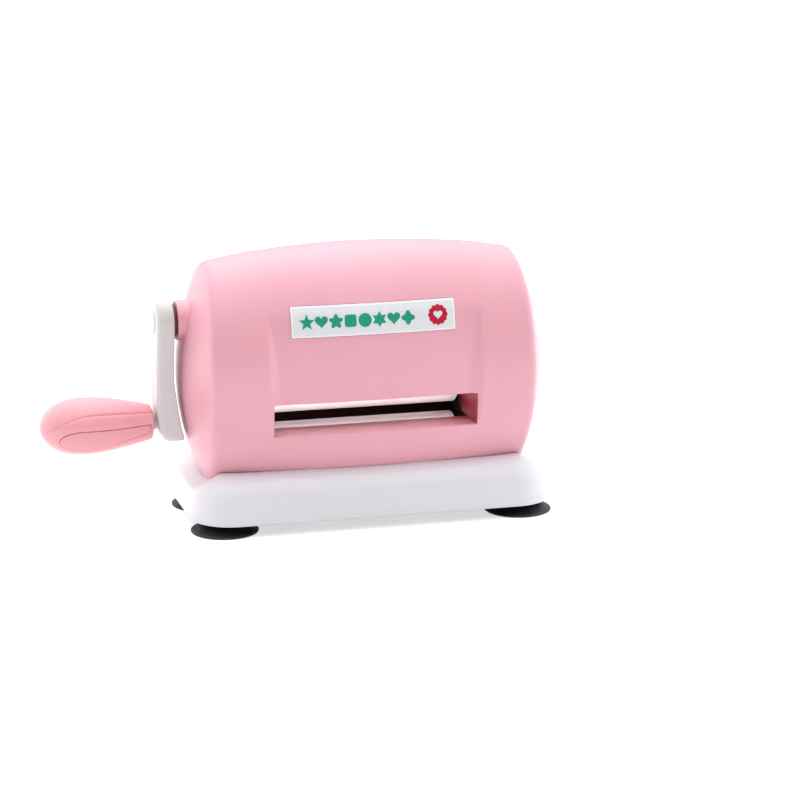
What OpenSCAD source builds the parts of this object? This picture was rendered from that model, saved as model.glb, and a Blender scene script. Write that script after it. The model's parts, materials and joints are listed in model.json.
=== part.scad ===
// Table-top die cutting machine with a hand crank: a card or paper stack and its
// die pass between two steel rollers, which a crank turns through gears.
// X runs along the rollers (the crank is at -X), -Y is the feed side, +Z is up and
// the feet stand on z = 0. Sizes are in millimetres.

/* [Housing] */
// Half the length of the barrel, measured to the edge of its end domes
barrel_half = 85; // [84:0.5:87]
// Half the depth of the barrel's oval section
barrel_d = 44.9; // [44.5:0.1:46]
// Half the height of the barrel's oval section
barrel_h = 66.3; // [66:0.1:68]
// Height of the middle of the barrel above the table
barrel_z = 77.5; // [77:0.1:79]
// Share by which the barrel narrows from its middle to its ends
barrel_shrink = 0.106; // [0.09:0.002:0.12]
// Bulge of each end dome
dome = 10.5; // [9.5:0.1:11.5]
// Wall thickness of the plastic housing
wall = 2.5; // [2:0.1:2.8]
// Height at which the housing stands on the base
seam_z = 31; // [30.5:0.1:31.5]

/* [Feed slot] */
// Width of the feed slot
slot_w = 108; // [106:1:109]
// Height of the slot's lower lip
slot_z = 51.6; // [51:0.1:52]
// Height of the slot opening
slot_h = 16.6; // [15.6:0.1:17]
// Depth of the sloped panel above the slot
panel_depth = 3; // [2:0.1:3.4]
// Width of the name plate (left blank)
label_w = 86; // [70:1:88]
// Height of the name plate
label_h = 15.4; // [14:0.1:16]

/* [Base] */
// Length of the base
base_l = 193.4; // [193:0.1:196]
// How far the base's middle stands to the right of the slot's middle
base_x = 1.2; // [0:0.1:1.5]
// Depth of the base
base_w = 89; // [88.6:0.1:90]
// Height of the skirt's lower edge
base_z = 6.6; // [6.4:0.1:6.8]
// Corner radius of the base
base_r = 22; // [18:1:26]
// Distance between the feet along the base
foot_x = 158; // [154:1:160]
// Distance between the feet across the base
foot_y = 52.2; // [51:0.1:53]
// Radius of a suction foot
foot_r = 17.7; // [17:0.1:17.9]

/* [Rollers and gears] */
// Radius of a roller
roller_r = 14.5; // [14.3:0.1:14.6]
// Height of the lower roller's axis
lower_z = 34.5; // [34.2:0.1:34.7]
// Half the length of a roller's working face
roller_half = 51; // [50:0.5:51]
// Radius of a roller's journals
journal_r = 4; // [3.8:0.1:4]
// Module of the gears that keep the rollers in step
sync_m = 1.75; // [1.75]
// Teeth on each of those gears
sync_t = 20; // [20]
// Module of the crank's pinion and of the gear it drives
drive_m = 1.5; // [1.5]
// Teeth on the crank's pinion
pinion_t = 14; // [14]
// Teeth on the driven gear
drive_t = 36; // [36]
// Thinning of every tooth at its pitch circle, for backlash
backlash = 0.16; // [0.12:0.01:0.2]

/* [Crank] */
// Radius of the crank shaft
shaft_r = 5; // [4.8:0.1:5]
// Distance from the shaft to the grip's axis
crank_len = 53; // [51:0.5:54]
// Width of the arm at the shaft
arm_w = 24; // [22:0.5:24]
// Largest radius of the grip
grip_r = 14.8; // [14:0.1:15]
// Length of the grip
grip_len = 59; // [58:0.5:60]

/* [Hidden] */

pink = [0.93, 0.68, 0.73];
white = [0.92, 0.92, 0.92];
steel = [0.7, 0.71, 0.73];
chrome = [0.85, 0.86, 0.88];
brass = [0.78, 0.62, 0.32];
black = [0.07, 0.07, 0.07];

grip_tip = -109.8 - grip_len;                 // outer end of the grip
off_x = -(grip_tip + base_x + base_l / 2) / 2; // puts the whole object's middle at x = 0
upper_z = lower_z + sync_m * sync_t;          // upper roller's axis
crank_z = upper_z + drive_m * (pinion_t + drive_t) / 2;
grip_z = crank_z - crank_len;
plate_in = 56.5;                              // inner face of each side plate
plate_out = 59.5;                             // outer face of each side plate
gear_in = 62;                                 // inner face of the gears
gear_out = 71;                                // outer face of the gears
slot_top = slot_z + slot_h;
plate_z = 7.6;                                // underside of the bottom plate
plate_t = 2.4;                                // its thickness
deck_t = 3;                                   // thickness of the base's top
bosses = [[77.8, 14], [-77.8, 14], [0, 25.5]];    // housing bosses on the rear side
posts = [[58, 26], [-58, 26], [24, 26], [-24, 26]];     // posts under the base's top, rear side
frame_holes = [[66, 14], [66, -14], [-66, 14], [-66, -14]];
rods = [[21, 20], [-21, 20], [21, 92], [-21, 92]];
label_z = 110.9;                              // middle of the name plate
label_y = 38.1;                               // its middle, in front of the rollers
label_tilt = 16.5;                            // it leans back by this angle
label_x = -1.8;

module place() translate([off_x, 0, 0]) children();
module xcyl(r, x1, x2, y = 0, z = 0)
    translate([x1, y, z]) rotate([0, 90, 0]) cylinder(r = r, h = x2 - x1, $fn = 64);
module xtube(r, bore, x1, x2, y = 0, z = 0)
    difference() { xcyl(r, x1, x2, y, z); xcyl(bore, x1 - 1, x2 + 1, y, z); }
module zcyl(r, z1, z2, x = 0, y = 0)
    translate([x, y, z1]) cylinder(r = r, h = z2 - z1, $fn = 48);
module block(x1, x2, y1, y2, z1, z2)
    translate([x1, y1, z1]) cube([x2 - x1, y2 - y1, z2 - z1]);

// ---- barrel shape: oval slices along X, a gentle bulge and a dome at each end
function oval(d, h, n = 44) = [for (i = [0:n - 1]) [d * cos(360 * i / n), h * sin(360 * i / n)]];
function narrow(x) = 1 - barrel_shrink * pow(x / barrel_half, 2);
edge_x = barrel_half - 1.5;
rho = [1, 0.975, 0.88, 0.72, 0.5, 0.26, 0.08];
stations = [for (i = [0:6]) [-edge_x - dome * (1 - pow(rho[6 - i], 2)), narrow(edge_x) * rho[6 - i]],
    for (i = [-3:3]) [edge_x * i / 4, narrow(edge_x * i / 4)],
    for (i = [0:6]) [edge_x + dome * (1 - pow(rho[i], 2)), narrow(edge_x) * rho[i]]];
module slice(st, inset) {
    k = max(0.02, st[1] - inset / 55);
    x = st[0] * (1 - inset / (edge_x + dome));
    translate([x, 0, barrel_z]) rotate([90, 0, 90])
        linear_extrude(height = 0.02, center = true)
            polygon(oval(barrel_d * k, barrel_h * k));
}
module barrel(inset)
    for (i = [0:len(stations) - 2]) hull() { slice(stations[i], inset); slice(stations[i + 1], inset); }

// panel above the slot: its face [height, distance from the middle, half width],
// fading into the barrel at its top
panel_face = [[113.5, 37.8, 54.4], [103, 40, 51], [90, 44.3 - panel_depth, 48.6], [slot_top, 44.4 - panel_depth, 48]];
module panel_slab(p, y, w) block(-w, w, -y - 0.01, -y, p[0] - 0.01, p[0]);
module panel_cut() for (i = [0:2]) hull() for (p = [panel_face[i], panel_face[i + 1]]) {
    panel_slab(p, p[1], p[2]);
    panel_slab(p, p[1] + 6, p[2] + 14);
}
module panel_back() for (i = [0:2]) hull() for (p = [panel_face[i], panel_face[i + 1]]) {
    panel_slab(p, p[1] - wall, slot_w / 2 + 1.5);
    panel_slab(p, p[1] + 1, slot_w / 2 + 1.5);
}
module label_solid() translate([label_x, -label_y, label_z]) rotate([-label_tilt, 0, 0])
    block(-label_w / 2, label_w / 2, -0.8, 0.8, -label_h / 2, label_h / 2);

// one half of the housing with its funnel and bosses; the feed side is -Y
module housing_half() difference() {
    intersection() {
        union() {
            difference() { barrel(0); barrel(wall); }
            block(-slot_w / 2 - 2, slot_w / 2 + 2, -50, -21, slot_z - 2, slot_z);
            block(-slot_w / 2 - 2, slot_w / 2 + 2, -50, -30, slot_top, slot_top + 2);
            for (s = [-1, 1]) translate([s * (slot_w / 2 + 1), 0, 0])
                block(-1, 1, -50, -8.6, slot_z - 2, slot_top + 2);
            panel_back();
            for (b = bosses) intersection() {
                union() {
                    zcyl(3.6, seam_z, 44, b[0], -b[1]);
                    block(b[0] - 1, b[0] + 1, -40, -b[1], seam_z, 41);
                }
                barrel(0.6);
            }
        }
        barrel(0);
        block(-120, 120, -60, -0.1, seam_z, 200);
    }
    block(-slot_w / 2, slot_w / 2, -60, -30.5, slot_z, slot_top);
    panel_cut();
    for (b = bosses) zcyl(1.3, seam_z - 1, 42, b[0], -b[1]);
    xcyl(10.6, -110, -80, 0, crank_z);
}
module housing_front() color(pink) place() difference() {
    housing_half();
    label_solid();
}
module housing_rear() color(pink) place() difference() {
    mirror([0, 1, 0]) housing_half();
}
module name_plate() color(white) place() label_solid();

// ---- base: a drafted skirt with a broad rounded shoulder
function corners(a, b, r, n = 8) = [for (q = [0:3], i = [0:n]) let (t = 90 * q + 90 * i / n)
    [((q == 0 || q == 3) ? a - r : r - a) + r * cos(t), (q < 2 ? b - r : r - b) + r * sin(t)]];
module pad(a, b, r, z) translate([0, 0, z]) linear_extrude(height = 0.02) polygon(corners(a, b, r));
module skirt(inset, top) translate([base_x, 0, 0]) hull() {
    a = base_l / 2 - inset; b = base_w / 2 - inset;
    pad(a, b, base_r - inset, base_z);
    pad(a - 1.4, b - 1.2, base_r - inset, 17.5);
    pad(a - 2.6, b - 2.4, base_r - inset, top - 8.2);
    pad(a - 4.8, b - 4.8, base_r - inset - 1, top - 3.8);
    pad(a - 8.2, b - 8.2, base_r - inset - 3, top - 1);
    pad(a - 12, b - 12, base_r - inset - 5, top - 0.02);
}
module base_shell() color(white) place() difference() {
    skirt(0, seam_z);
    difference() {
        translate([0, 0, -0.1]) skirt(2.6, seam_z - deck_t);
        for (p = posts, s = [-1, 1]) zcyl(3.4, plate_z + plate_t, 40, p[0], s * p[1]);
    }
    block(-120, 120, -60, 60, base_z - 2, base_z);
    block(-73.5, 73.5, -21.3, 21.3, 20, 40);
    block(70, 80.5, -8.8, 8.8, 20, 40);
    for (b = bosses, s = [-1, 1]) zcyl(1.8, 20, 40, b[0], s * b[1]);
    for (p = posts, s = [-1, 1]) zcyl(1.3, 5, 22, p[0], s * p[1]);
}
module base_plate() color(black) place() difference() {
    translate([base_x, 0, plate_z]) linear_extrude(height = plate_t) {
        square([base_l - 2 * base_r, base_w - 6.4], center = true);
        square([base_l - 6.4, base_w - 2 * base_r], center = true);
        for (sx = [-1, 1], sy = [-1, 1])
            translate([sx * (base_l / 2 - base_r), sy * (base_w / 2 - base_r)]) circle(r = base_r - 3.5, $fn = 64);
    }
    for (p = posts, s = [-1, 1]) zcyl(1.8, 5, 22, p[0], s * p[1]);
    for (p = frame_holes) zcyl(2.1, 5, 22, p[0], p[1]);
    for (sx = [-1, 1], sy = [-1, 1]) zcyl(2.6, 5, 22, base_x + sx * foot_x / 2, sy * foot_y / 2);
}

// ---- side frames, rods and bushes
module side_plate(s) {
    top = s < 0 ? 119 : 100;
    difference() {
        union() {
            translate([s < 0 ? -plate_out : plate_in, 0, 0]) rotate([90, 0, 90]) linear_extrude(height = 3)
                polygon([[-20, 10], [20, 10], [20, 40], [27, 48], [27, top - 12], [17, top], [-17, top],
                    [-27, top - 12], [-27, 48], [-20, 40]]);
            block(min(s * plate_in, s * 72.5), max(s * plate_in, s * 72.5), -20, 20, 10, 13);
        }
        for (z = [lower_z, upper_z]) xcyl(6, s * 58 - 5, s * 58 + 5, 0, z);
        if (s < 0) xcyl(7, -70, -50, 0, crank_z);
        for (p = rods) if (!(s > 0 && p[1] > top - 4)) xcyl(2.1, s * 58 - 5, s * 58 + 5, p[0] * (p[1] < 50 ? 0.76 : 1), p[1]);
        for (p = frame_holes) if (p[0] * s > 0) zcyl(2, 5, 16, p[0], p[1]);
    }
}
module frame_left() color(steel) place() side_plate(-1);
module frame_right() color(steel) place() side_plate(1);
module tie_rods() color(steel) place() for (p = rods)
    difference() {
        xcyl(4, -plate_in, plate_in, p[0] * (p[1] < 50 ? 0.76 : 1), p[1]);
        for (s = [-1, 1]) xcyl(1.6, s * 50 - 7, s * 50 + 7, p[0] * (p[1] < 50 ? 0.76 : 1), p[1]);
    }
module tie_rod_screws() color(steel) place() for (p = rods, s = [-1, 1])
    translate([s * plate_out, p[0] * (p[1] < 50 ? 0.76 : 1), p[1]]) rotate([0, s * 90, 0]) {
        cylinder(r = 3.4, h = 2, $fn = 6);
        translate([0, 0, -13]) cylinder(r = 1.6, h = 13.5, $fn = 32);
    }
module bush(bore, od, flange, s, z) difference() {
    union() {
        xcyl(od, min(s * 55, s * 59.9), max(s * 55, s * 59.9), 0, z);
        xcyl(flange, min(s * 55, s * plate_in), max(s * 55, s * plate_in), 0, z);
    }
    xcyl(bore, s * 57 - 10, s * 57 + 10, 0, z);
}
module roller_bushes() color(brass) place()
    for (s = [-1, 1], z = [lower_z, upper_z]) bush(journal_r + 0.06, 6, 8, s, z);
module shaft_bush() color(brass) place() bush(shaft_r + 0.06, 7, 9, -1, crank_z);
module shaft_collar() color(pink) place() difference() {
    union() {
        xcyl(10.4, -97.2, -84, 0, crank_z);
        xcyl(12.4, -85.4, -83.4, 0, crank_z);
    }
    xcyl(shaft_r + 0.08, -100, -80, 0, crank_z);
}

// ---- gears: involute teeth, 20 degree pressure angle
function inv(a) = tan(a) * 180 / PI - a;
function tooth(m, t, k) = let (rp = m * t / 2, rb = rp * cos(20), ra = rp + 0.8 * m, rf = rp - 1.1 * m,
    r0 = max(rb, rf) + 0.001, hp = 90 / t - backlash / 2 / rp * 180 / PI,
    c = 360 * k / t,
    fl = [for (i = [0:4]) let (r = r0 + (ra - r0) * i / 4) [r, hp + inv(20) - inv(acos(rb / r))]])
    concat([[rf, c - fl[0][1]]], [for (i = [0:4]) [fl[i][0], c - fl[i][1]]],
        [for (i = [4:-1:0]) [fl[i][0], c + fl[i][1]]], [[rf, c + fl[0][1]]]);
module gear2d(m, t, turn) rotate(turn)
    polygon([for (k = [0:t - 1], p = tooth(m, t, k)) [p[0] * cos(p[1]), p[0] * sin(p[1])]]);
// teeth between x1 and x2 and a pinned hub outside them; turn 90 points a tooth up
module gear(m, t, turn, bore, hub, x1, x2, z, pin_r = 1.5) {
    s = x1 < 0 ? -1 : 1;
    a = min(x1, x2); b = max(x1, x2);
    difference() {
        union() {
            translate([a, 0, z]) rotate([90, 0, 90]) linear_extrude(height = b - a) gear2d(m, t, turn);
            xcyl(hub, min(s * (b < 0 ? -a : b) - s, s * 77.5), max(s * (b < 0 ? -a : b) - s, s * 77.5), 0, z);
        }
        xcyl(bore, a - 10, b + 10, 0, z);
        translate([s * 74.5, 0, z]) rotate([90, 0, 0]) cylinder(r = pin_r, h = 40, center = true, $fn = 32);
    }
}
module cross_pin(x, z, len, r = 1.5) translate([x, 0, z]) rotate([90, 0, 0])
    cylinder(r = r, h = len, center = true, $fn = 32);
module roller(z, x1, x2, pins) difference() {
    union() {
        xcyl(roller_r, -roller_half, roller_half, 0, z);
        xcyl(journal_r, x1, x2, 0, z);
        for (s = [-1, 1]) xcyl(6.2, s * (roller_half + 1) - 1.2, s * (roller_half + 1) + 1.2, 0, z);
    }
    for (p = pins) cross_pin(p, z, 30);
}
module upper_roller() color(chrome) place() roller(upper_z, -79, 79, [-74.5, 74.5]);
module lower_roller() color(chrome) place() roller(lower_z, -63, 79, [74.5]);
module drive_gear() color(black) place() difference() {
    gear(drive_m, drive_t, 95, journal_r, 8, -gear_out, -gear_in, upper_z);
    for (k = [0:5]) translate([0, 17 * cos(60 * k), upper_z + 17 * sin(60 * k)])
        xcyl(5, -80, -50);
}
module upper_sync_gear() color(black) place() gear(sync_m, sync_t, 90, journal_r, 8, gear_in, gear_out, upper_z);
module lower_sync_gear() color(black) place()
    gear(sync_m, sync_t, 90 + 180 / sync_t, journal_r, 8, gear_in, gear_out, lower_z);
module upper_gear_pins() color(steel) place() for (s = [-1, 1]) cross_pin(s * 74.5, upper_z, 15);
module lower_gear_pin() color(steel) place() cross_pin(74.5, lower_z, 15);
module upper_roller_rings() color(steel) place() for (s = [-1, 1])
    xtube(6.6, journal_r, min(s * 60.2, s * 61.4), max(s * 60.2, s * 61.4), 0, upper_z);
module lower_roller_rings() color(steel) place() for (s = [-1, 1])
    xtube(6.6, journal_r, min(s * 60.2, s * 61.4), max(s * 60.2, s * 61.4), 0, lower_z);

// ---- crank
module crank_shaft() color(steel) place() difference() {
    xcyl(shaft_r, -106, -51, 0, crank_z);
    cross_pin(-74.5, crank_z, 30);
    xcyl(1.6, -107, -93, 0, crank_z);
}
module crank_pinion() color(steel) place()
    gear(drive_m, pinion_t, 90, shaft_r, 8.6, -gear_out - 0.5, -gear_in + 0.5, crank_z);
module pinion_pin() color(steel) place() cross_pin(-74.5, crank_z, 16.6);
module shaft_ring() color(steel) place() xtube(8, shaft_r, -54.4, -53.2, 0, crank_z);
module arm_washer() color(black) place() xtube(8.6, shaft_r, -99.4, -97.2, 0, crank_z);
// curved bar: its side outline and its face outline cut each other
module crank_arm() color(white) place() difference() {
    intersection() {
        translate([0, 20, 0]) rotate([90, 0, 0]) linear_extrude(height = 40) polygon([
            [-108.2, crank_z + 13], [-99.4, crank_z + 13], [-99.4, crank_z - 9], [-99.7, crank_z - 16],
            [-99.9, crank_z - 23], [-99.7, crank_z - 31], [-98.7, crank_z - 39], [-97.5, crank_z - 47],
            [-96, crank_z - 55.5], [-94.8, crank_z - 61], [-94.8, crank_z - 63.4], [-95.6, crank_z - 65],
            [-103.6, crank_z - 65], [-105.2, crank_z - 62], [-106.8, crank_z - 59], [-107.8, crank_z - 55],
            [-108.6, crank_z - 47], [-108.9, crank_z - 36], [-108.9, crank_z - 23], [-108.5, crank_z - 7]]);
        translate([-120, 0, 0]) rotate([90, 0, 90]) linear_extrude(height = 40) hull() {
            translate([0, crank_z]) circle(r = arm_w / 2, $fn = 96);
            translate([0, grip_z - 1.8]) circle(r = 9.4, $fn = 96);
        }
    }
    xcyl(shaft_r, -106, -90, 0, crank_z);
    xcyl(2.1, -120, -90, 0, crank_z);
    xcyl(7.2, -112, -107.4, 0, crank_z);
    xcyl(2.9, -120, -90, 0, grip_z);
}
module arm_screw() color(steel) place() {
    xcyl(1.6, -106.4, -95, 0, crank_z);
    xcyl(2.05, -107.3, -106, 0, crank_z);
}
module arm_cap() color(white) place() translate([-107.4, 0, crank_z]) rotate([0, -90, 0])
    rotate_extrude($fn = 64) polygon([[0, 0], [7.1, 0], [7.1, 1.2], [6.4, 1.7], [4.4, 2.1], [0, 2.3]]);
module grip_pin() color(steel) place() {
    xcyl(2.9, -156, -98.5, 0, grip_z);
}
module grip_spacer() color(white) place() xtube(4.6, 2.9, -110.2, -108.45, 0, grip_z);

// teardrop grip: radius at stations from the arm to the tip
grip_profile = [[0, 8.4], [1, 9.3], [6.5, 10.6], [16.8, 12.8], [27.2, 14.4], [35.2, 14.8],
    [42.8, 14.2], [48, 13.1], [53.2, 10.7], [56.2, 7.9], [58, 5], [58.8, 2.4], [59, 0]];
module grip_solid() translate([-110.4, 0, grip_z]) rotate([0, -90, 0]) scale([1, 1, 1])
    rotate_extrude($fn = 72) polygon(concat([[0, 0]],
        [for (p = grip_profile) [p[1] * grip_r / 14.8, p[0] * (grip_len - 0.6) / 59]]));
// outline of the inlaid panel on each side of the grip
module panel_outline(g = 0) polygon([[-112.5 - g, grip_z + 0.6], [-130, grip_z + 1.2 - g], [-150, grip_z + 1.2 - g],
    [-158, grip_z - 0.6 - g], [-161 + g, grip_z - 4], [-158, grip_z - 8 + g], [-152, grip_z - 10.4 + g],
    [-143, grip_z - 10.2 + g], [-130, grip_z - 7.6 + g], [-112.5 - g, grip_z - 3.4 + g]]);
module inlay_zone(s, g = 0) translate([0, s > 0 ? 16 : -6, 0]) rotate([90, 0, 0])
    linear_extrude(height = 10) panel_outline(g);
module grip() color(pink) place() difference() {
    grip_solid();
    xcyl(2.96, -157, -100, 0, grip_z);
    for (s = [-1, 1]) inlay_zone(s);
}
module grip_inlays() color(pink) place() for (s = [-1, 1]) intersection() {
    translate([0.25, 0, 0]) grip_solid();
    inlay_zone(s, 0.12);
}

// ---- feet and fasteners
module foot(sx, sy) translate([base_x + sx * foot_x / 2, sy * foot_y / 2, 0]) rotate_extrude($fn = 72)
    polygon([[0, 3.2], [5, 3.2], [9, 2.6], [12.6, 1.5], [15, 0], [foot_r - 0.5, 0], [foot_r, 0.6],
        [foot_r - 0.3, 1.6], [15.4, 2.9], [11.5, 4.6], [9.6, 6.2], [9.4, plate_z], [0, plate_z]]);
module foot_front_left() color(black) place() foot_with_hole(-1, -1);
module foot_front_right() color(black) place() foot_with_hole(1, -1);
module foot_rear_left() color(black) place() foot_with_hole(-1, 1);
module foot_rear_right() color(black) place() foot_with_hole(1, 1);
module foot_with_hole(sx, sy) difference() {
    foot(sx, sy);
    zcyl(2.5, 5, 12, base_x + sx * foot_x / 2, sy * foot_y / 2);
}
module foot_studs() color(steel) place() for (sx = [-1, 1], sy = [-1, 1])
    zcyl(2.5, 5, 14.6, base_x + sx * foot_x / 2, sy * foot_y / 2);
module foot_nuts() color(steel) place() for (sx = [-1, 1], sy = [-1, 1])
    translate([base_x + sx * foot_x / 2, sy * foot_y / 2, plate_z + plate_t]) difference() {
        cylinder(r = 4.6, h = 3.6, $fn = 6);
        translate([0, 0, -1]) cylinder(r = 2.5, h = 6, $fn = 48);
    }
module pan_screw(x, y, z, len, r, head) translate([x, y, z]) {
    cylinder(r = r, h = len, $fn = 32);
    rotate([180, 0, 0]) rotate_extrude($fn = 40) polygon([[0, 0], [head, 0], [head, 0.7], [head * 0.7, 1.4], [0, 1.6]]);
}
module frame_screws() color(steel) place() for (p = frame_holes) pan_screw(p[0], p[1], plate_z, 6.4, 2, 3.6);
module base_screws() color(steel) place() for (p = posts, s = [-1, 1])
    pan_screw(p[0], s * p[1], plate_z, 13, 1.3, 2.9);
module housing_screws() color(steel) place() for (b = bosses, s = [-1, 1])
    pan_screw(b[0], s * b[1], seam_z - deck_t - 0.1, 12.6, 1.3, 3);

housing_front();
housing_rear();
name_plate();
base_shell();
base_plate();
frame_left();
frame_right();
tie_rods();
tie_rod_screws();
roller_bushes();
shaft_bush();
shaft_collar();
upper_roller();
lower_roller();
drive_gear();
upper_sync_gear();
lower_sync_gear();
upper_gear_pins();
lower_gear_pin();
upper_roller_rings();
lower_roller_rings();
crank_shaft();
crank_pinion();
pinion_pin();
shaft_ring();
arm_washer();
crank_arm();
arm_screw();
arm_cap();
grip_pin();
grip_spacer();
grip();
grip_inlays();
foot_front_left();
foot_front_right();
foot_rear_left();
foot_rear_right();
foot_studs();
foot_nuts();
frame_screws();
base_screws();
housing_screws();
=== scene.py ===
import bpy, bmesh, math, json
from mathutils import Vector, Matrix


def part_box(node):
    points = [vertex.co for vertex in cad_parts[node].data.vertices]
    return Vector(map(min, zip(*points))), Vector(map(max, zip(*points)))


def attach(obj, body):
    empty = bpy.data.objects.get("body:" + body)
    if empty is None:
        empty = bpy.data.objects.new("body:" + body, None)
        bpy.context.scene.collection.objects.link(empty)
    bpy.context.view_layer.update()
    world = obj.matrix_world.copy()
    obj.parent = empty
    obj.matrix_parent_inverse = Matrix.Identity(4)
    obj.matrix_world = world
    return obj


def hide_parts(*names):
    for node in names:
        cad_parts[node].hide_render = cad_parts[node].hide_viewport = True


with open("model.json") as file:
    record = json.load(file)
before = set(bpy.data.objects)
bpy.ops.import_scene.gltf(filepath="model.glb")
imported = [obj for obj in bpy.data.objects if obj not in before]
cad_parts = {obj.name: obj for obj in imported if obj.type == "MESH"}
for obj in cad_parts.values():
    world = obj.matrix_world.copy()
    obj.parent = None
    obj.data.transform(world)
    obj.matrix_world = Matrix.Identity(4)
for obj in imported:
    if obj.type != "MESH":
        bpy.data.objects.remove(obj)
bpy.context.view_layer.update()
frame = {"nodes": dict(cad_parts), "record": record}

scene = bpy.context.scene
nodes = frame["nodes"]

# ------------------------------------------------------------------ frame
# Lengths below are in millimetres, measured from the middle of the rollers in plan
# and from the table upwards; P() turns them into metres in the shared frame.
_lo, _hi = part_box("base_shell")
_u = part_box("upper_roller"); _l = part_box("lower_roller")
OFF = (_u[0][0] + _u[1][0]) / 2
def P(x, y, z):
    return (x / 1000 + OFF, y / 1000, z / 1000)

UP_Z = (_u[0][2] + _u[1][2]) * 500
LOW_Z = (_l[0][2] + _l[1][2]) * 500
_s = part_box("shaft_bush")
CR_Z = (_s[0][2] + _s[1][2]) * 500
_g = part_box("grip_spacer")
GR_Z = (_g[0][2] + _g[1][2]) * 500
BASE_A = (_hi[0] - _lo[0]) * 500
BASE_X = (_hi[0] + _lo[0]) * 500 - OFF * 1000      # the base sits a little to the right
BASE_B = (_hi[1] - _lo[1]) * 500

# ------------------------------------------------------------------ camera
cam_data = bpy.data.cameras.new("camera")
cam = bpy.data.objects.new("camera", cam_data)
scene.collection.objects.link(cam)
cam_data.sensor_fit = "HORIZONTAL"
cam_data.sensor_width = 36
cam_data.lens = 3190.0 * 36 / 800
cam_data.clip_start = 0.05
cam_data.clip_end = 60
cam.location = P(-394.06, -1578.94, 474.92)
cam.rotation_euler = (math.radians(90 - 14.363), 0, math.radians(-14.791))
scene.camera = cam

# ------------------------------------------------------------------ helpers
def smooth01(t):
    t = max(0.0, min(1.0, t))
    return t * t * (3 - 2 * t)

def lerp(a, b, t):
    return a + (b - a) * t

def interp(x, pts):
    if x <= pts[0][0]:
        return pts[0][1]
    for (x0, y0), (x1, y1) in zip(pts, pts[1:]):
        if x <= x1:
            return y0 + (y1 - y0) * (x - x0) / (x1 - x0)
    return pts[-1][1]

def spline(x, pts):
    """Smooth curve through pts (monotone cubic)."""
    n = len(pts)
    if x <= pts[0][0]:
        return pts[0][1]
    if x >= pts[-1][0]:
        return pts[-1][1]
    d = [(pts[i + 1][1] - pts[i][1]) / (pts[i + 1][0] - pts[i][0]) for i in range(n - 1)]
    m = [d[0]] + [0 if d[i - 1] * d[i] <= 0 else 2 * d[i - 1] * d[i] / (d[i - 1] + d[i]) for i in range(1, n - 1)] + [d[-1]]
    for i in range(n - 1):
        x0, y0 = pts[i]; x1, y1 = pts[i + 1]
        if x <= x1:
            h = x1 - x0; t = (x - x0) / h
            return ((2 * t**3 - 3 * t**2 + 1) * y0 + (t**3 - 2 * t**2 + t) * h * m[i]
                    + (-2 * t**3 + 3 * t**2) * y1 + (t**3 - t**2) * h * m[i + 1])

def new_mesh(name, verts, faces):
    me = bpy.data.meshes.new(name)
    me.from_pydata(verts, [], faces)
    me.validate()
    me.update()
    ob = bpy.data.objects.new(name, me)
    scene.collection.objects.link(ob)
    return ob

def recalc(ob):
    bm = bmesh.new(); bm.from_mesh(ob.data)
    bmesh.ops.recalc_face_normals(bm, faces=bm.faces)
    bm.to_mesh(ob.data); bm.free()

def apply_mods(ob):
    if not ob.modifiers:
        return
    dg = bpy.context.evaluated_depsgraph_get()
    dg.update()
    me = bpy.data.meshes.new_from_object(ob.evaluated_get(dg), depsgraph=dg)
    ob.modifiers.clear()
    old = ob.data
    ob.data = me
    me.name = ob.name
    bpy.data.meshes.remove(old)

def shade(ob, angle=40):
    me = ob.data
    me.shade_smooth()
    me.set_sharp_from_angle(angle=math.radians(angle))

def done(ob, body, mat, replaces=(), angle=40):
    apply_mods(ob)
    shade(ob, angle)
    if mat:
        ob.data.materials.clear()
        ob.data.materials.append(mat)
    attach(ob, body)
    if replaces:
        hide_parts(*replaces)
    return ob

def lathe(name, prof, n, axis, x0, y0, z0, cap=True):
    """Revolve prof [(along, radius)] round an axis ('x-' outward to -X, 'x+', 'z') at (x0, y0, z0)."""
    verts, faces = [], []
    rings = []
    for a, r in prof:
        if r < 1e-6:
            ring = [len(verts)]
            pts = [(a, 0.0, 0.0)]
        else:
            pts = [(a, r * math.cos(2 * math.pi * i / n), r * math.sin(2 * math.pi * i / n)) for i in range(n)]
            ring = list(range(len(verts), len(verts) + n))
        for (p, u, v) in pts:
            if axis == "x-":
                verts.append(P(x0 - p, y0 + u, z0 + v))
            elif axis == "x+":
                verts.append(P(x0 + p, y0 + u, z0 + v))
            else:
                verts.append(P(x0 + u, y0 + v, z0 + p))
        rings.append(ring)
    for ra, rb in zip(rings, rings[1:]):
        if len(ra) == 1 and len(rb) == 1:
            continue
        for i in range(n):
            j = (i + 1) % n
            if len(ra) == 1:
                faces.append((ra[0], rb[j], rb[i]))
            elif len(rb) == 1:
                faces.append((ra[i], ra[j], rb[0]))
            else:
                faces.append((ra[i], ra[j], rb[j], rb[i]))
    ob = new_mesh(name, verts, faces)
    recalc(ob)
    return ob

def fillet(prof, r, seg=4):
    """Rounds the corners of an open polyline [(a, b)] by radius r."""
    out = [prof[0]]
    for i in range(1, len(prof) - 1):
        p0, p1, p2 = Vector(prof[i - 1]), Vector(prof[i]), Vector(prof[i + 1])
        d0, d1 = (p0 - p1), (p2 - p1)
        l0, l1 = d0.length, d1.length
        if l0 < 1e-6 or l1 < 1e-6:
            out.append(prof[i]); continue
        ang = d0.angle(d1)
        if ang > math.radians(165):
            out.append(prof[i]); continue
        k = min(r / math.tan(ang / 2), l0 * 0.45, l1 * 0.45)
        a = p1 + d0.normalized() * k; b = p1 + d1.normalized() * k
        for s in range(seg + 1):
            t = s / seg
            q = a * (1 - t) ** 2 + p1 * 2 * t * (1 - t) + b * t ** 2
            out.append((q.x, q.y))
    out.append(prof[-1])
    return out

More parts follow.
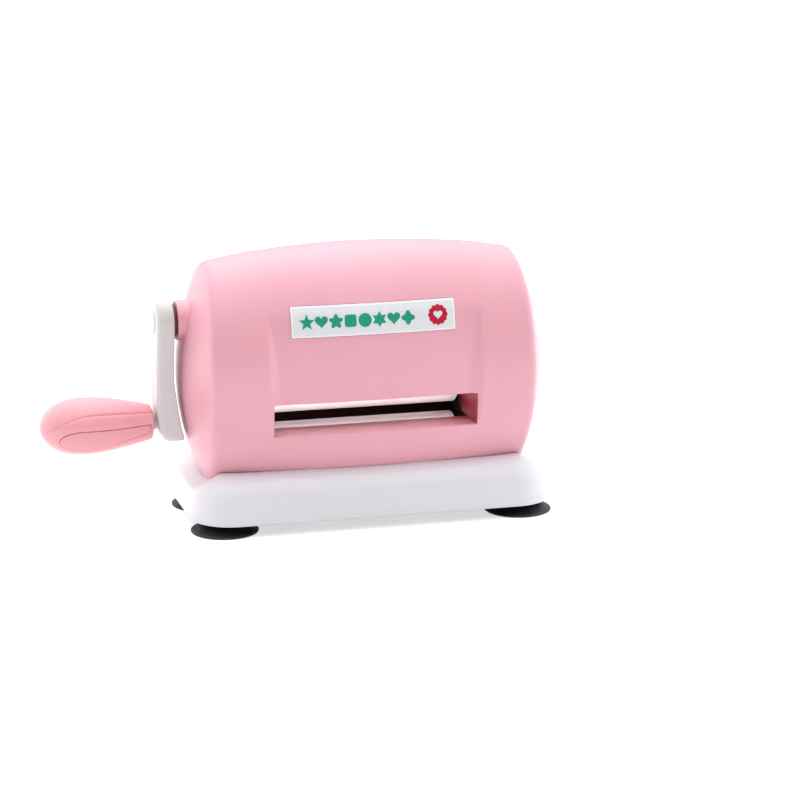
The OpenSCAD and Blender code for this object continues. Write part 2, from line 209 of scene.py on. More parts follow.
# ------------------------------------------------------------------ materials
def rgb(h):
    """sRGB hex to linear."""
    c = [int(h[i:i + 2], 16) / 255 for i in (0, 2, 4)]
    return [x / 12.92 if x <= 0.04045 else ((x + 0.055) / 1.055) ** 2.4 for x in c]

class Mat:
    def __init__(self, name):
        self.m = bpy.data.materials.new(name)
        self.m.use_nodes = True
        self.t = self.m.node_tree
        self.b = self.t.nodes["Principled BSDF"]
        self.tc = self.t.nodes.new("ShaderNodeTexCoord")
    def new(self, kind, **kw):
        n = self.t.nodes.new(kind)
        for k, v in kw.items():
            setattr(n, k, v)
        return n
    def link(self, a, b):
        self.t.links.new(a, b)
    def set(self, **kw):
        for k, v in kw.items():
            self.b.inputs[k.replace("_", " ")].default_value = v
    def noise(self, scale, detail=2.0, rough=0.5, stretch=None):
        n = self.new("ShaderNodeTexNoise")
        n.inputs["Scale"].default_value = scale
        n.inputs["Detail"].default_value = detail
        n.inputs["Roughness"].default_value = rough
        if stretch:
            mp = self.new("ShaderNodeMapping")
            mp.inputs["Scale"].default_value = stretch
            self.link(self.tc.outputs["Object"], mp.inputs["Vector"])
            self.link(mp.outputs["Vector"], n.inputs["Vector"])
        else:
            self.link(self.tc.outputs["Object"], n.inputs["Vector"])
        return n.outputs["Fac"]
    def ramp(self, fac, stops):
        r = self.new("ShaderNodeValToRGB")
        while len(r.color_ramp.elements) < len(stops):
            r.color_ramp.elements.new(0.5)
        for e, (p, c) in zip(r.color_ramp.elements, stops):
            e.position = p
            e.color = list(c) + [1] if len(c) == 3 else c
        self.link(fac, r.inputs["Fac"])
        return r.outputs["Color"]
    def maprange(self, fac, a, b, lo=0.3, hi=0.7):
        r = self.new("ShaderNodeMapRange")
        r.inputs["From Min"].default_value = lo
        r.inputs["From Max"].default_value = hi
        r.inputs["To Min"].default_value = a
        r.inputs["To Max"].default_value = b
        self.link(fac, r.inputs["Value"])
        return r.outputs["Result"]
    def bump(self, layers):
        """layers: [(height socket, strength, distance in mm)]"""
        prev = None
        for h, s, d in layers:
            b = self.new("ShaderNodeBump")
            b.inputs["Strength"].default_value = s
            b.inputs["Distance"].default_value = d / 1000
            self.link(h, b.inputs["Height"])
            if prev:
                self.link(prev, b.inputs["Normal"])
            prev = b.outputs["Normal"]
        self.link(prev, self.b.inputs["Normal"])

def tint(c, k):
    return [min(1.0, x * k) for x in c]

def plastic(name, col, rough=0.34, grain=0.05, vary=0.03, sss=0.0, coat=0.0, wave=0.05, spread=0.05, sheen=0.0):
    m = Mat(name)
    n1 = m.noise(22, 3, 0.55)
    m.link(m.ramp(n1, [(0.3, tint(col, 1 - vary)), (0.7, tint(col, 1 + vary))]), m.b.inputs["Base Color"])
    n2 = m.noise(140, 4, 0.6)
    m.link(m.maprange(n2, rough - spread, rough + spread), m.b.inputs["Roughness"])
    if sheen:
        m.b.inputs["Sheen Weight"].default_value = sheen
        m.b.inputs["Sheen Roughness"].default_value = 0.45
    fine = m.noise(2600, 2, 0.5)
    if wave:
        wav = m.noise(38, 1, 0.4)
        m.bump([(wav, wave, 0.2), (fine, grain, 0.03)])
    else:
        m.bump([(fine, grain, 0.03)])
    m.set(Metallic=0.0, IOR=1.49)
    if sss:
        m.b.inputs["Subsurface Weight"].default_value = sss
        m.b.inputs["Subsurface Radius"].default_value = (0.004, 0.002, 0.002)
        m.b.inputs["Subsurface Scale"].default_value = 1.0
    if coat:
        m.b.inputs["Coat Weight"].default_value = coat
        m.b.inputs["Coat Roughness"].default_value = 0.3
    return m.m

def metal(name, col, rough=0.25, stretch=None, grain=0.15, scale=300, vary=0.05, metallic=1.0):
    m = Mat(name)
    n1 = m.noise(60, 3, 0.6)
    m.link(m.ramp(n1, [(0.3, tint(col, 1 - vary)), (0.7, tint(col, 1 + vary))]), m.b.inputs["Base Color"])
    n2 = m.noise(scale, 4, 0.65, stretch)
    m.link(m.maprange(n2, max(0.02, rough - 0.06), rough + 0.08), m.b.inputs["Roughness"])
    m.bump([(n2, grain, 0.02)])
    m.set(Metallic=metallic)
    return m.m

def slot_plastic_painted_shade(name, col, shade_col):
    """Moulded pink with painted shade: away from the mouth it darkens to a painted red that stands in for the unlit
    inside.
    """
    m = Mat(name)
    sp = m.new("ShaderNodeSeparateXYZ")
    m.link(m.tc.outputs["Object"], sp.inputs["Vector"])
    ab = m.new("ShaderNodeMath", operation="ABSOLUTE")
    m.link(sp.outputs["Y"], ab.inputs[0])
    depth = m.maprange(ab.outputs[0], 1.0, 0.0, 0.0215, 0.0315)
    # painted shade: the side walls are painted redder than the floor, for the deeper shade and red bounce light between
    # walls that face each other
    ax = m.new("ShaderNodeMath", operation="SUBTRACT")
    m.link(sp.outputs["X"], ax.inputs[0])
    ax.inputs[1].default_value = OFF
    bx = m.new("ShaderNodeMath", operation="ABSOLUTE")
    m.link(ax.outputs[0], bx.inputs[0])
    side = m.maprange(bx.outputs[0], 0.0, 0.9, 0.0532, 0.0537)
    mx = m.new("ShaderNodeMath", operation="MAXIMUM")
    m.link(depth, mx.inputs[0])
    m.link(side, mx.inputs[1])
    m.link(m.ramp(mx.outputs[0], [(0.0, col), (0.3, tint(col, 0.88)), (0.62, [lerp(a, b, 0.72) for a, b in zip(col, shade_col)]), (1.0, shade_col)]), m.b.inputs["Base Color"])
    n2 = m.noise(140, 4, 0.6)
    m.link(m.maprange(n2, 0.34, 0.44), m.b.inputs["Roughness"])
    fine = m.noise(2600, 2, 0.5)
    m.bump([(fine, 0.06, 0.03)])
    m.set(Metallic=0.0, IOR=1.49)
    return m.m

def rubber(name, col=(0.012, 0.0085, 0.0095), rough=0.5):
    m = Mat(name)
    n1 = m.noise(90, 4, 0.6)
    m.link(m.ramp(n1, [(0.3, tint(col, 0.75)), (0.75, tint(col, 1.8))]), m.b.inputs["Base Color"])
    n2 = m.noise(420, 3, 0.6)
    m.link(m.maprange(n2, rough - 0.1, rough + 0.12), m.b.inputs["Roughness"])
    m.bump([(n2, 0.18, 0.06)])
    m.set(Metallic=0.0)
    return m.m

PINK = (0.86, 0.41, 0.488)
M_PINK = plastic("pink_plastic", PINK, rough=0.40, grain=0.06, sss=0.05, coat=0.24, sheen=0.1)
M_GRIP = plastic("pink_plastic_grip", (0.93, 0.405, 0.455), rough=0.36, grain=0.06, sss=0.05)
M_PINK_DARK = plastic("pink_plastic_inlay", (0.90, 0.39, 0.44), rough=0.42, grain=0.12, sss=0.05)
M_WHITE = plastic("white_plastic", (0.82, 0.82, 0.855), rough=0.3, grain=0.04, vary=0.006, wave=0.0, spread=0.02)
M_ARM = plastic("arm_plastic", (0.70, 0.665, 0.66), rough=0.36, grain=0.05, vary=0.006, wave=0.0, spread=0.03)
M_BLACKP = plastic("black_nylon", (0.02, 0.02, 0.022), rough=0.45, grain=0.1, vary=0.1)
M_RUBBER = rubber("suction_rubber")
# painted shade: the slot's pink darkens towards the inside, in place of lit shading
M_SLOT_SHADE = slot_plastic_painted_shade("pink_slot_painted_shade", (0.90, 0.37, 0.45), (0.44, 0.022, 0.045))
# painted shade: the inside of the housing is painted near-black red for the shade inside it, not its own pink
M_INSIDE_SHADE = plastic("pink_inside_painted_shade", (0.10, 0.022, 0.03), rough=0.5, grain=0.1, vary=0.1)
# painted reflection: the roller colour is tinted pink for the pink slot walls it reflects
M_CHROME = metal("roller_chrome", (0.94, 0.85, 0.865), rough=0.33, stretch=(1, 30, 30), grain=0.03, scale=40, vary=0.02, metallic=0.45)
# painted shade: the washer's dark red-brown stands in for the shade in the gap between the arm and the collar
M_WASHER_SHADE = plastic("washer_painted_shade", (0.16, 0.05, 0.055), rough=0.5, grain=0.1, vary=0.1)
M_STEEL = metal("turned_steel", (0.55, 0.56, 0.58), rough=0.28)
# painted shade: the side frames get a near-black reddish steel, standing in for the dark red shade inside the housing
M_FRAME_SHADE = metal("frame_steel_painted_shade", (0.085, 0.06, 0.062), rough=0.5, scale=180, vary=0.12)
M_ZINC = metal("zinc_plate", (0.48, 0.49, 0.5), rough=0.38, scale=180, vary=0.12)
M_BRASS = metal("sintered_bronze", (0.62, 0.44, 0.2), rough=0.35, scale=500, vary=0.1)
M_LABEL = plastic("label_white", (0.80, 0.81, 0.83), rough=0.24, grain=0.01, vary=0.008, coat=0.3, wave=0.0)
# painted highlight: whiter than the plate, for the light caught by its bevelled edge
M_EDGE_HIGHLIGHT = plastic("label_edge_highlight", (0.95, 0.95, 0.955), rough=0.2, grain=0.01, vary=0.008, coat=0.3, wave=0.0)
M_GREEN = plastic("print_green", rgb("229d80"), rough=0.3, grain=0.03, vary=0.04)
M_RED = plastic("print_red", rgb("c41c36"), rough=0.3, grain=0.03, vary=0.04)
# painted shadow: dark pink for the contact shadow round the name plate
M_PLATE_SHADOW = plastic("plate_painted_shadow", (0.42, 0.13, 0.18), rough=0.5, grain=0.03, vary=0.05)

# ------------------------------------------------------------------ housing
BD, BH, BZ = 44.9, 66.3, 77.5
BL, BK, DOME, BE = 85.1, 0.106, 11.2, 3.05
SEAM = 31.0
SEAM_CUT = 31.25     # a hair above the base, so the joint shows as a line
SL_W, SL_Z, SL_T = 54.0, 51.6, 68.2
REC_OUT, REC_IN, REC_TOP, REC_D = 56.2, 49.9, 114.0, 3.9

def narrow(x):
    return 1 - BK * (x / BL) ** 2

LIP = 0.5            # radius of the slot's rounded rim

def meridian():
    """Half profile (x, s) from the middle of the barrel over the edge to the dome's middle."""
    xs = [0, 4, 8, 12, 16, 20, 24, 28, 32, 36, 40, 43, 45, 46.4, 47.2, 48, 48.8, 49.6, 50.4, 51.2, 52, 52.8, 53.6,
          SL_W + LIP, 55.2, 55.8, 56.6, 57.6, 59, 60.5, 62.5, 65.5, 69, 72.5, 76, 79, 81.0]
    pts = [(x, narrow(x) * BH) for x in xs]
    se = narrow(BL)
    dome = []
    n = 34
    for i in range(n + 1):
        rho = 1 - i / n
        dome.append((BL + DOME * (1 - rho * rho), se * rho * BH))
    corner = Vector((BL, se * BH))
    a = Vector((82.1, narrow(82.1) * BH))
    rho_b = 1 - 3.4 / (se * BH)
    b = Vector((BL + DOME * (1 - rho_b ** 2), se * rho_b * BH))
    arc = []
    for k in range(0, 13):
        t = k / 12
        q = a * (1 - t) ** 2 + corner * 2 * t * (1 - t) + b * t ** 2
        arc.append((q.x, q.y))
    tail = [p for p in dome if p[1] < b.y - 1.0 and p[1] > 0.02 * BH]
    out = pts + arc + tail
    return [(x, r / BH) for x, r in out], (BL + DOME)

def t_lines():
    """Section angles at the barrel's middle."""
    def at(z):
        return math.degrees(math.asin((z - BZ) / BH))
    ts = [-90 + 3.5 * i for i in range(0, 11)]          # to -55
    lo, hi, top = at(SL_Z - LIP), at(SL_T + LIP), at(REC_TOP)
    t = -52.0
    while t < lo - 2.6:
        ts.append(t); t += 1.5
    ts += [lo - 1.9, lo - 0.9, lo, lo + 3, lo + 6, lo + 9, hi - 2.5, hi, hi + 0.5, hi + 1.2, hi + 2.1]
    t = hi + 3.2
    while t < 62:
        ts.append(t); t += 1.2
    while t < 88:
        ts.append(t); t += 2.0
    ts.append(90)
    return ts

def section_t(t0, s):
    """Angle at a section of scale s of the line that has angle t0 at the middle."""
    s = max(s, narrow(62))
    v = math.sin(math.radians(t0)) / s
    w = 1 - smooth01((abs(t0) - 40) / 22)
    if w <= 0 or abs(v) >= 0.999:
        return t0
    return t0 + w * (math.degrees(math.asin(v)) - t0)

def recess(x, z):
    t = max(0.0, min(1.0, (REC_TOP - z) / 40.5))
    f = 1 - (1 - t) ** 2
    u = (REC_OUT - abs(x)) / max(0.4, (REC_OUT - REC_IN) * f)
    u = max(0.0, min(1.0, u))
    g = 1 - (1 - u) ** 1.6
    if z < SL_T:
        f *= smooth01((z - (SL_Z - LIP)) / (SL_T - SL_Z))
    return REC_D * f * g

def housing(side, name):
    mer, tip = meridian()
    left = [(-x, s) for x, s in reversed(mer)]
    line = left + mer[1:]
    ts = t_lines()
    verts, faces = [], []
    for (x, s) in line:
        for t0 in ts:
            t = math.radians(section_t(t0, s))
            ends = smooth01((abs(x) - 58) / 26)
            xx = x - math.copysign(1, x) * BE * (math.sin(t) * s / narrow(BL)) ** 2 * ends if x else 0.0
            y = BD * s * math.cos(t)
            z = BZ + BH * s * math.sin(t)
            if abs(x) < 60 and y > 20:
                y -= recess(x, z)
            verts.append([xx, side * y, z])
    n, m = len(line), len(ts)
    def in_slot(i, j):
        x = (line[i][0] + line[i + 1][0]) / 2
        z = BZ + BH * (math.sin(math.radians(ts[j])) + math.sin(math.radians(ts[j + 1]))) / 2
        return abs(x) < SL_W + LIP and SL_Z - LIP < z < SL_T + LIP
    for i in range(n - 1):
        for j in range(m - 1):
            if not in_slot(i, j):
                faces.append((i * m + j, (i + 1) * m + j, (i + 1) * m + j + 1, i * m + j + 1))
    for end, x in ((0, -tip), (n - 1, tip)):
        c = len(verts)
        verts.append([x, 0, BZ])
        for j in range(m - 1):
            a, b = end * m + j, end * m + j + 1
            faces.append((a, b, c) if end == 0 else (b, a, c))
    # rim of the slot, as a loop of grid points
    i0 = min(i for i in range(n) if line[i][0] > -SL_W - LIP - 0.01)
    i1 = max(i for i in range(n) if line[i][0] < SL_W + LIP + 0.01)
    zt = [BZ + BH * math.sin(math.radians(t)) for t in ts]
    j0 = min(j for j in range(m) if zt[j] > SL_Z - LIP - 0.01)
    j1 = max(j for j in range(m) if zt[j] < SL_T + LIP + 0.01)
    loop = [(i, j0) for i in range(i0, i1)] + [(i1, j) for j in range(j0, j1)] + [(i, j1) for i in range(i1, i0, -1)] + [(i0, j) for j in range(j1, j0, -1)]
    prev = [i * m + j for i, j in loop]
    base = [list(verts[k]) for k in prev]
    def step(fn, which=None):
        """Adds a copy of the loop moved by fn; which picks the edges that get a wall."""
        nonlocal prev
        cur = []
        for q, (i, j) in enumerate(loop):
            cur.append(len(verts))
            verts.append(fn(base[q], i, j))
        L = len(loop)
        for q in range(L):
            r = (q + 1) % L
            if which is None or which(loop[q], loop[r]):
                faces.append((prev[q], prev[r], cur[r], cur[q]))
        prev = cur
    def wall_xz(i, j, v, k):
        x, y, z = v
        dx = (1 if i == i0 else -1 if i == i1 else 0) * LIP * k
        x = x + dx
        # the wall's faces are flat: exact height at the floor and the ceiling
        if j == j0: z = z + (SL_Z - z) * k
        elif j == j1: z = z + (SL_T - z) * k
        else: z = SL_Z + (z - SL_Z) * 1.0
        return x, z
    for k in (0.25, 0.5, 0.75, 1.0):
        a = math.pi / 2 * k
        def fn(v, i, j, a=a):
            x, z = wall_xz(i, j, v, math.sin(a))
            return [x, v[1] - side * LIP * (1 - math.cos(a)), z]
        step(fn)
    first_wall = len(faces)
    for depth, which in ((38.5, None), (36.5, None), (33.0, None), (27.0, lambda p, q: not (p[1] == j1 and q[1] == j1)),
                         (21.2, lambda p, q: not (p[1] == j1 and q[1] == j1)),
                         (14.0, lambda p, q: p[0] == q[0]), (8.6, lambda p, q: p[0] == q[0])):
        def fn(v, i, j, depth=depth):
            x, z = wall_xz(i, j, v, 1.0)
            return [x, side * depth, z]
        step(fn, which)
    ob = new_mesh(name, [P(*v) for v in verts], faces)
    # painted shade: the slot faces and the inner shell take the painted-shade materials
    for m in (M_PINK, M_SLOT_SHADE, M_INSIDE_SHADE, M_INSIDE_SHADE):
        ob.data.materials.append(m)
    for k, pl in enumerate(ob.data.polygons):
        pl.material_index = 1 if k >= first_wall else 0
    bm = bmesh.new(); bm.from_mesh(ob.data)
    bmesh.ops.delete(bm, geom=[v for v in bm.verts if not v.link_faces], context="VERTS")
    # cut at the base and at the middle plane; the dome's foot is kept longer, to
    # follow the lower shoulder at the base's ends
    def keep(x, y):
        return SEAM_CUT - 6.4 * smooth01((abs(x) - 79.5) / 4.5) * smooth01((35 - abs(y)) / 18)
    for v in bm.verts:
        x, y = (v.co.x - OFF) * 1000, v.co.y * 1000
        v.co.z -= (keep(x, y) - SEAM_CUT) / 1000
    geo = bm.verts[:] + bm.edges[:] + bm.faces[:]
    bmesh.ops.bisect_plane(bm, geom=geo, plane_co=(0, 0, SEAM_CUT / 1000), plane_no=(0, 0, 1), clear_inner=True, clear_outer=False, dist=1e-6)
    for v in bm.verts:
        x, y = (v.co.x - OFF) * 1000, v.co.y * 1000
        v.co.z += (keep(x, y) - SEAM_CUT) / 1000
    geo = bm.verts[:] + bm.edges[:] + bm.faces[:]
    bmesh.ops.bisect_plane(bm, geom=geo, plane_co=(0, side * 0.00012, 0), plane_no=(0, side, 0), clear_inner=True, clear_outer=False, dist=1e-6)
    bmesh.ops.remove_doubles(bm, verts=bm.verts[:], dist=2e-6)
    bmesh.ops.recalc_face_normals(bm, faces=bm.faces)
    probe = max(bm.faces, key=lambda f: f.calc_center_median().z)
    if probe.normal.z < 0:
        bmesh.ops.reverse_faces(bm, faces=bm.faces)
    bm.to_mesh(ob.data); bm.free()
    so = ob.modifiers.new("wall", "SOLIDIFY")
    so.thickness = 0.0018
    so.offset = -1
    so.use_even_offset = False
    so.use_rim = True
    # the inner shell takes the painted-shade inside material
    so.material_offset = 2
    return ob

hf = housing(-1, "housing_front_shell")
done(hf, "root", None, ["housing_front"], 35)
hr = housing(1, "housing_rear_shell")
done(hr, "root", None, ["housing_rear"], 35)

def surface_y(x, z, lift=0.0):
    """Front surface (distance from the middle plane, mm) of the barrel at x, z."""
    s = narrow(x)
    v = (z - BZ) / (BH * s)
    y = BD * s * math.sqrt(max(0.0, 1 - v * v))
    return y - recess(x, z) + lift

# ------------------------------------------------------------------ base
def rrect(a, b, r, n=14):
    pts = []
    for q, (cx, cy) in enumerate([(a - r, b - r), (r - a, b - r), (r - a, r - b), (a - r, r - b)]):
        for i in range(n + 1):
            t = math.pi / 2 * (q + i / n)
            pts.append((cx + r * math.cos(t), cy + r * math.sin(t)))
        # points along the straight side that follows
        nx, ny = [(r - a, b - r), (r - a, r - b), (a - r, r - b), (a - r, b - r)][q]
        t = math.pi / 2 * (q + 1)
        x0, y0 = pts[-1]
        x1, y1 = nx + r * math.cos(t), ny + r * math.sin(t)
        for k in range(1, 8):
            pts.append((lerp(x0, x1, k / 8), lerp(y0, y1, k / 8)))
    return pts

BASE_PROF = [(6.6, 0.0), (10, 0.35), (14, 0.85), (17.5, 1.35), (20.5, 1.95), (23, 2.8), (25.2, 4.0), (27.2, 5.5), (28.8, 7.3),
             (30.0, 9.3), (30.7, 11.4), (31.0, 13.6)]

def sag(x, y, z):
    """The shoulder is lower at the two ends, where the housing's domes come down over it."""
    if z < 20:
        return z
    w = smooth01((abs(x) - 79.5) / 4.5) * smooth01((35 - abs(y)) / 18)
    return z - 5.6 * w * smooth01((z - 19) / 12.0)

def base_mesh():
    rings = []
    def ring(inset, z, r):
        rings.append([P(x + BASE_X, y, sag(x + BASE_X, y, z)) for x, y in rrect(BASE_A - inset, BASE_B - inset, r)])
    r0 = 22.0
    # underside lip, then up the outside
    ring(2.6, 6.9, r0 - 2.4)
    ring(1.3, 6.62, r0 - 1.2)
    ring(0.55, 6.66, r0 - 0.5)
    ring(0.12, 6.95, r0 - 0.1)
    zs = [7.5 + (31.0 - 7.5) * i / 44 for i in range(45)]
    inv = [(b, a) for a, b in BASE_PROF]
    for i in range(0, 30):
        z = 7.5 + i * 0.7
        ring(spline(z, BASE_PROF), z, r0 - spline(z, BASE_PROF) * 0.55)
    for k in range(1, 16):
        d = lerp(spline(27.8, BASE_PROF), 13.6, k / 15)
        ring(d, spline(d, inv), r0 - d * 0.55)
    ring(15.5, 31.0, 13)
    # deck opening
    def oring(z, g=0.0):
        rings.append([P(x, y, z) for x, y in rrect(73.5 + g, 21.3 + g, 3.0 + g)])
    oring(31.0, 0.5); oring(30.85, 0.12); oring(30.4, 0.0); oring(28.2, 0.0)
    def under(inset, z, r):
        rings.append([P(x + BASE_X, y, sag(x + BASE_X, y, z + 2.2) - 2.2) for x, y in rrect(BASE_A - inset, BASE_B - inset, r)])
    under(16.5, 28.2, 12)
    for k in range(0, 10):
        d = lerp(14.5, 5.0, k / 9)
        z = spline(max(0.0, d - 2.4), inv) - 2.2
        under(d, min(28.2, z), r0 - d * 0.55)
    for z in (20, 15, 11, 8.5):
        under(spline(z, BASE_PROF) + 2.5, z, r0 - 2.6)
    verts = [v for r in rings for v in r]
    m = len(rings[0])
    faces = []
    n = len(rings)
    for i in range(n):
        j = (i + 1) % n
        for k in range(m):
            l = (k + 1) % m
            faces.append((i * m + k, i * m + l, j * m + l, j * m + k))
    ob = new_mesh("base_shell_body", verts, faces)
    recalc(ob)
    return ob

bs = base_mesh()
cut = new_mesh("deck_notch_cutter", [P(x, y, z) for x in (70, 80.5) for y in (-8.8, 8.8) for z in (20, 40)],
               [(0, 1, 3, 2), (4, 6, 7, 5), (0, 4, 5, 1), (2, 3, 7, 6), (0, 2, 6, 4), (1, 5, 7, 3)])
recalc(cut)
bo = bs.modifiers.new("notch", "BOOLEAN")
bo.operation = "DIFFERENCE"; bo.solver = "EXACT"; bo.object = cut
apply_mods(bs)
bpy.data.objects.remove(cut, do_unlink=True)
done(bs, "root", M_WHITE, ["base_shell"], 50)

# ------------------------------------------------------------------ feet
def foot(name, node):
    lo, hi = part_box(node)
    cx, cy = (lo[0] + hi[0]) * 500 - OFF * 1000, (lo[1] + hi[1]) * 500
    R = (hi[0] - lo[0]) * 500
    prof = [(3.2, 0), (3.2, 4.0), (2.9, 7.5), (2.2, 10.5), (1.2, 13.2), (0.25, 15.2), (0.0, 15.7), (0.0, R - 0.9), (0.18, R - 0.3), (0.55, R),
            (1.0, R - 0.05), (1.35, R - 0.5), (1.6, R - 1.2), (2.0, R - 1.9), (2.15, R - 2.5), (2.6, R - 3.2), (3.4, R - 4.6),
            (4.3, R - 6.2), (5.1, R - 7.4), (5.6, R - 7.9), (6.3, R - 8.1), (7.55, R - 8.1), (7.55, 0)]
    ob = lathe(name, fillet(prof, 0.35, 3), 96, "z", cx, cy, 0.0)
    return done(ob, "root", M_RUBBER, [node], 40)

for nm in ("foot_front_left", "foot_front_right", "foot_rear_left", "foot_rear_right"):
    foot(nm + "_cup", nm)

# ------------------------------------------------------------------ crank arm
def arm_mesh():
    z_hub, z_end = CR_Z, GR_Z - 1.8
    r_hub, r_end = 12.0, 9.4
    # outline in the YZ plane: two circles and their tangents
    d = z_hub - z_end
    ta = math.asin((r_hub - r_end) / d)
    pts = []
    n1, n2 = 44, 36
    for i in range(n1 + 1):
        a = lerp(-ta, math.pi + ta, i / n1)
        pts.append((r_hub * math.cos(a), z_hub + r_hub * math.sin(a)))
    p_end_l = (r_end * math.cos(math.pi + ta), z_end + r_end * math.sin(math.pi + ta))
    for i in range(1, 24):
        t = i / 24
        pts.append((lerp(pts[n1][0], p_end_l[0], t), lerp(pts[n1][1], p_end_l[1], t)))
    for i in range(n2 + 1):
        a = lerp(math.pi + ta, 2 * math.pi - ta, i / n2)
        pts.append((r_end * math.cos(a), z_end + r_end * math.sin(a)))
    p0 = pts[0]; q = pts[-1]
    for i in range(1, 24):
        t = i / 24
        pts.append((lerp(q[0], p0[0], t), lerp(q[1], p0[1], t)))
    inner = [(42, -93.6), (46, -94.3), (51.5, -95.9), (60, -97.4), (68, -98.6), (76, -99.6), (84, -99.8), (93, -99.5), (102, -99.4), (120, -99.4)]
    outer = [(42, -103.4), (44.5, -104.6), (48, -106.6), (52, -107.8), (60, -108.6), (68, -108.9), (84, -108.9), (100, -108.5), (120, -108.2)]
    rings = []
    def ring(inset, side, off):
        row = []
        for (y, z) in pts:
            # shrink towards the spine of the arm
            zc = max(z_end, min(z_hub, z))
            L = math.hypot(y, z - zc)
            k = max(0.0, (L - inset) / L) if L > 1e-6 else 0
            yy, zz = y * k, zc + (z - zc) * k
            x = spline(zz, outer) + off if side < 0 else spline(zz, inner) - off
            row.append(P(x, yy, zz))
        rings.append(row)
    R = 2.3
    # outer face from the spine to the rim, round the edge, down the side, inner face
    for ins in (9.0, 7.0, 5.0, 3.6, 2.6):
        ring(ins, -1, 0.0)
    for k in range(0, 7):
        a = math.pi / 2 * k / 6
        ring(R * (1 - math.sin(a)), -1, R * (1 - math.cos(a)))
    for k in range(1, 5):
        row = []
        for (y, z) in pts:
            x = lerp(spline(z, outer) + R, spline(z, inner) - 0.9, k / 5)
            row.append(P(x, y, z))
        rings.append(row)
    R2 = 0.9
    for k in range(6, -1, -1):
        a = math.pi / 2 * k / 6
        ring(R2 * (1 - math.sin(a)), 1, R2 * (1 - math.cos(a)))
    for ins in (2.2, 4.0, 6.0, 9.0):
        ring(ins, 1, 0.0)
    m = len(pts)
    verts = [v for r in rings for v in r]
    faces = []
    for i in range(len(rings) - 1):
        for k in range(m):
            l = (k + 1) % m
            faces.append((i * m + k, i * m + l, (i + 1) * m + l, (i + 1) * m + k))
    # close both faces along the spine
    faces.append(tuple(range(m)))
    faces.append(tuple(reversed(range((len(rings) - 1) * m, len(rings) * m))))
    ob = new_mesh("crank_arm_body", verts, faces)
    bm = bmesh.new(); bm.from_mesh(ob.data)
    bmesh.ops.triangulate(bm, faces=[f for f in bm.faces if len(f.verts) > 4])
    bmesh.ops.recalc_face_normals(bm, faces=bm.faces)
    bm.to_mesh(ob.data); bm.free()
    return ob

arm = arm_mesh()
done(arm, "crank", M_ARM, ["crank_arm"], 45)

cap = lathe("arm_cap_disc", fillet([(0, 7.1), (0.9, 7.1), (1.3, 6.7), (1.5, 6.2), (1.15, 5.9), (1.15, 5.2), (1.5, 4.9), (1.75, 3.5), (1.9, 1.6), (1.95, 0)], 0.2, 3)
            , 72, "x-", -107.4, 0, CR_Z)
done(cap, "crank", M_ARM, ["arm_cap"], 45)

# painted shade: the washer is coloured dark red-brown for the shaded gap by the collar
wash = lathe("arm_washer_disc", fillet([(0, 5.0), (0, 8.2), (2.1, 8.2), (2.1, 5.0)], 0.25, 3), 72, "x-", -97.25, 0, CR_Z)
done(wash, "crank", M_WASHER_SHADE, ["arm_washer"], 45)

col = lathe("shaft_collar_ring", fillet([(0, 5.1), (0, 12.4), (2.0, 12.4), (2.0, 10.4), (13.2, 10.4), (13.6, 10.2), (13.8, 9.6), (13.8, 8.9), (13.3, 8.5), (13.3, 5.1)], 0.3, 3),
            96, "x-", -83.4, 0, CR_Z)
done(col, "root", M_PINK, ["shaft_collar"], 45)

spc = lathe("grip_spacer_ring", fillet([(0, 2.9), (0, 4.6), (0.6, 4.2), (1.1, 4.2), (1.75, 4.6), (1.75, 2.9)], 0.15, 2), 64, "x-", -108.45, 0, GR_Z)
done(spc, "crank", M_ARM, ["grip_spacer"], 45)

# ------------------------------------------------------------------ grip
GX0 = -110.4
GPROF = [(0, 7.6), (0.35, 8.5), (1.0, 9.15), (3.0, 9.75), (6.5, 10.55), (11, 11.6), (16.8, 12.8), (22, 13.75), (27.2, 14.4), (32, 14.75), (35.2, 14.8),
         (39, 14.65), (42.8, 14.2), (46, 13.45), (49, 12.3), (51.5, 10.95), (53.8, 9.2), (55.6, 7.2), (57, 5.0), (57.9, 2.8), (58.4, 0.0)]
def grip_r(a):
    return spline(a, GPROF)
# closed outline of the inlaid panel and the open line above it: (distance from the arm end, height from the axis)
LOOP = [(1.6, 0.9), (12, 0.7), (25, 0.55), (38, 0.6), (44.5, -0.3), (48.3, -2.3), (49.8, -4.6), (49.0, -7.0), (45.5, -9.3), (39, -10.7), (32, -10.6),
        (24, -9.2), (16, -7.3), (8, -5.2), (1.6, -3.6)]

def loop_dense(g=0.0):
    """Closed smooth version of LOOP, as a list of points; g is not used."""
    n = len(LOOP); out = []
    for i in range(n):
        p0, p1, p2, p3 = (Vector(LOOP[(i + k - 1) % n]) for k in range(4))
        if i == n - 1:            # straight end beside the arm
            for k in range(6):
                out.append(p1.lerp(p2, k / 6))
            continue
        if i == 0: p0 = p1
        if i == n - 2: p3 = p2
        for k in range(10):
            t = k / 10
            out.append(0.5 * ((2 * p1) + (p2 - p0) * t + (2 * p0 - 5 * p1 + 4 * p2 - p3) * t * t + (3 * p1 - p0 - 3 * p2 + p3) * t ** 3))
    return out
LOOPD = loop_dense()

def seg_dist(p, pts, closed=True):
    best = 1e9
    n = len(pts)
    for i in range(n if closed else n - 1):
        a = pts[i]; b = pts[(i + 1) % n]
        ab = b - a
        t = max(0.0, min(1.0, (p - a).dot(ab) / max(1e-9, ab.dot(ab))))
        d = (p - (a + ab * t)).length
        if d < best:
            best = d
    return best

def inside(p, pts):
    c = False
    n = len(pts)
    for i in range(n):
        a = pts[i]; b = pts[(i + 1) % n]
        if (a.y > p.y) != (b.y > p.y) and p.x < (b.x - a.x) * (p.y - a.y) / (b.y - a.y) + a.x:
            c = not c
    return c

